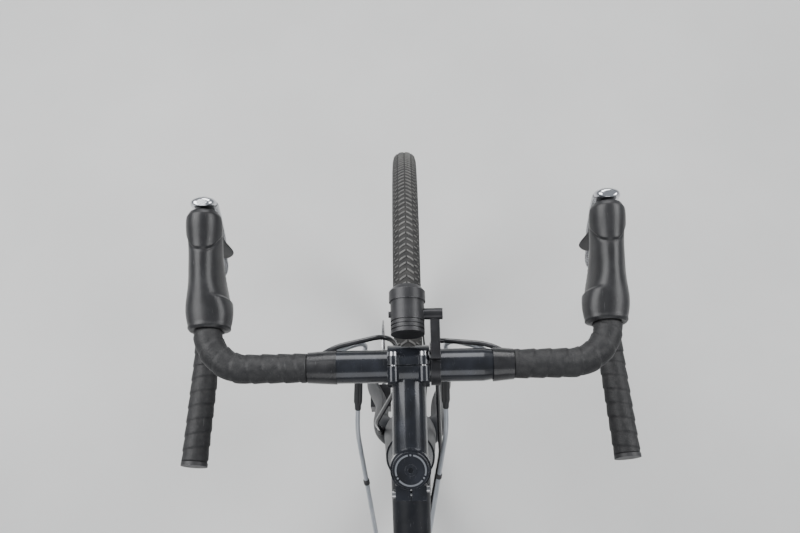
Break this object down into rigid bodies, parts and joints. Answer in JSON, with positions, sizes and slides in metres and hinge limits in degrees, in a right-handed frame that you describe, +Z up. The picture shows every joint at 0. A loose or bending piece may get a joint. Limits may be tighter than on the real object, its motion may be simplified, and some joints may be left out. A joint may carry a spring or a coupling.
{
  "type": "road bicycle",
  "caption": "Drop-bar road bicycle with disc brakes, wire-spoked wheels, a derailleur chain drive, hooded brake levers and a lamp on the bar.",
  "frame": {"origin": "on the ground, centred in the bicycle's length and width", "axes": "+Y forward, +X the rider's right, +Z up"},
  "size_m": [0.4932, 1.705, 0.9684],
  "materials": {
    "frame_paint": "gloss black",
    "bearing_steel": "ground steel",
    "black_alloy": "black anodised",
    "steel": "plated steel",
    "lever_alloy": "polished alloy",
    "black_plastic": "moulded",
    "hood_rubber": "satin rubber",
    "tape": "textured wrap",
    "gloss_tape": "glossy tape",
    "saddle_cover": "smooth cover",
    "tyre_rubber": "tread and casing",
    "spoke_steel": "black spoke",
    "grey_housing": "silver-grey outer",
    "black_hose": "black outer"
  },
  "bodies": {
    "frame": {"head_tube": "frame_paint", "top_tube": "frame_paint", "down_tube": "frame_paint", "seat_tube": "frame_paint", "bottom_bracket_shell": "frame_paint", "stays_left": "frame_paint", "stays_right": "frame_paint", "headset_bearings": "bearing_steel", "seat_clamp": "black_alloy", "seatpost": "black_alloy", "saddle_rails": "steel", "saddle_shell": "black_plastic", "saddle_pad": "saddle_cover", "rear_axle": "steel", "rear_caliper": "black_alloy", "front_derailleur": "black_alloy", "rear_derailleur": "black_alloy", "chain": "steel", "shift_housings": "grey_housing", "rear_brake_hose": "black_hose"},
    "steering": {"fork": "frame_paint", "front_axle": "steel", "front_caliper": "black_alloy", "headset_spacers": "black_alloy", "stem": "black_alloy", "stem_faceplate": "black_alloy", "stem_screws": "steel", "top_cap": "black_alloy", "handlebar": "black_alloy", "bar_tape_left": "tape", "bar_tape_right": "tape", "finishing_tape": "gloss_tape", "bar_plugs": "black_plastic", "hood_left": "hood_rubber", "hood_right": "hood_rubber", "lamp": "black_alloy", "lamp_bracket": "black_alloy", "front_brake_hose": "black_hose"},
    "brake_left": {"brake_lever_left": "lever_alloy"},
    "brake_right": {"brake_lever_right": "lever_alloy"},
    "shift_left": {"shift_paddle_left": "black_plastic"},
    "shift_right": {"shift_paddle_right": "black_plastic"},
    "front_wheel": {"front_tyre": "tyre_rubber", "front_rim": "black_alloy", "front_spokes": "spoke_steel", "front_hub": "black_alloy", "front_rotor": "steel"},
    "rear_wheel": {"rear_tyre": "tyre_rubber", "rear_rim": "black_alloy", "rear_spokes": "spoke_steel", "rear_hub": "black_alloy", "rear_rotor": "steel"},
    "cogs": {"cassette": "steel"},
    "cranks": {"crankset": "black_alloy", "chainrings": "steel"},
    "pedal_l": {"pedal_left": "black_alloy"},
    "pedal_r": {"pedal_right": "black_alloy"},
    "cage": {"derailleur_cage": "black_alloy"},
    "guide": {"guide_pulley": "black_plastic"},
    "tension": {"tension_pulley": "black_plastic"}
  },
  "joints": [
    {"name": "steering", "type": "hinge", "parent": "frame", "child": "steering", "pos_m": [0, 0.34383, 0.69663], "axis": [0, -0.309, 0.9511], "range_deg": [-45, 45], "deforming": ["shift_housings", "rear_brake_hose"]},
    {"name": "front_wheel_spin", "type": "hinge", "parent": "steering", "child": "front_wheel", "pos_m": [0, 0.5075, 0.345], "axis": [1, 0, 0], "continuous": true},
    {"name": "rear_wheel_spin", "type": "hinge", "parent": "frame", "child": "rear_wheel", "pos_m": [0, -0.5075, 0.345], "axis": [1, 0, 0], "continuous": true},
    {"name": "crank_spin", "type": "hinge", "parent": "frame", "child": "cranks", "pos_m": [0, -0.0883, 0.275], "axis": [1, 0, 0], "continuous": true, "deforming": ["chain"]},
    {"name": "cassette_spin", "type": "hinge", "parent": "frame", "child": "cogs", "pos_m": [0, -0.5075, 0.345], "axis": [1, 0, 0], "continuous": true},
    {"name": "pedal_left_spin", "type": "hinge", "parent": "cranks", "child": "pedal_l", "pos_m": [0, -0.2608, 0.275], "axis": [1, 0, 0], "continuous": true},
    {"name": "pedal_right_spin", "type": "hinge", "parent": "cranks", "child": "pedal_r", "pos_m": [0, 0.0842, 0.275], "axis": [1, 0, 0], "continuous": true},
    {"name": "derailleur_cage_swing", "type": "hinge", "parent": "frame", "child": "cage", "pos_m": [0.04605, -0.4975, 0.267], "axis": [1, 0, 0], "range_deg": [-20, 30], "stiffness_Nm_per_rad": 0.4, "deforming": ["chain"]},
    {"name": "guide_pulley_spin", "type": "hinge", "parent": "cage", "child": "guide", "pos_m": [0.04605, -0.4975, 0.267], "axis": [1, 0, 0], "continuous": true},
    {"name": "tension_pulley_spin", "type": "hinge", "parent": "cage", "child": "tension", "pos_m": [0.04605, -0.4735, 0.215], "axis": [1, 0, 0], "continuous": true},
    {"name": "brake_lever_left_pull", "type": "hinge", "parent": "steering", "child": "brake_left", "pos_m": [-0.199, 0.52216, 0.90831], "axis": [-1, 0, 0], "range_deg": [0, 22], "stiffness_Nm_per_rad": 0.6, "springref_deg": -11.46},
    {"name": "brake_lever_right_pull", "type": "hinge", "parent": "steering", "child": "brake_right", "pos_m": [0.199, 0.52216, 0.90831], "axis": [-1, 0, 0], "range_deg": [0, 22], "stiffness_Nm_per_rad": 0.6, "springref_deg": -11.46},
    {"name": "shift_paddle_left_push", "type": "hinge", "parent": "brake_left", "child": "shift_left", "pos_m": [-0.1995, 0.52616, 0.88731], "axis": [0, -1, 0], "range_deg": [0, 18], "stiffness_Nm_per_rad": 0.15, "springref_deg": -11.46},
    {"name": "shift_paddle_right_push", "type": "hinge", "parent": "brake_right", "child": "shift_right", "pos_m": [0.1995, 0.52616, 0.88731], "axis": [0, 1, 0], "range_deg": [0, 18], "stiffness_Nm_per_rad": 0.15, "springref_deg": -11.46}
  ],
  "couplings": [
    {"joint": "cassette_spin", "follows": "crank_spin", "ratio": 2.7778},
    {"joint": "guide_pulley_spin", "follows": "crank_spin", "ratio": -4.5455},
    {"joint": "tension_pulley_spin", "follows": "crank_spin", "ratio": 4.5455}
  ]
}
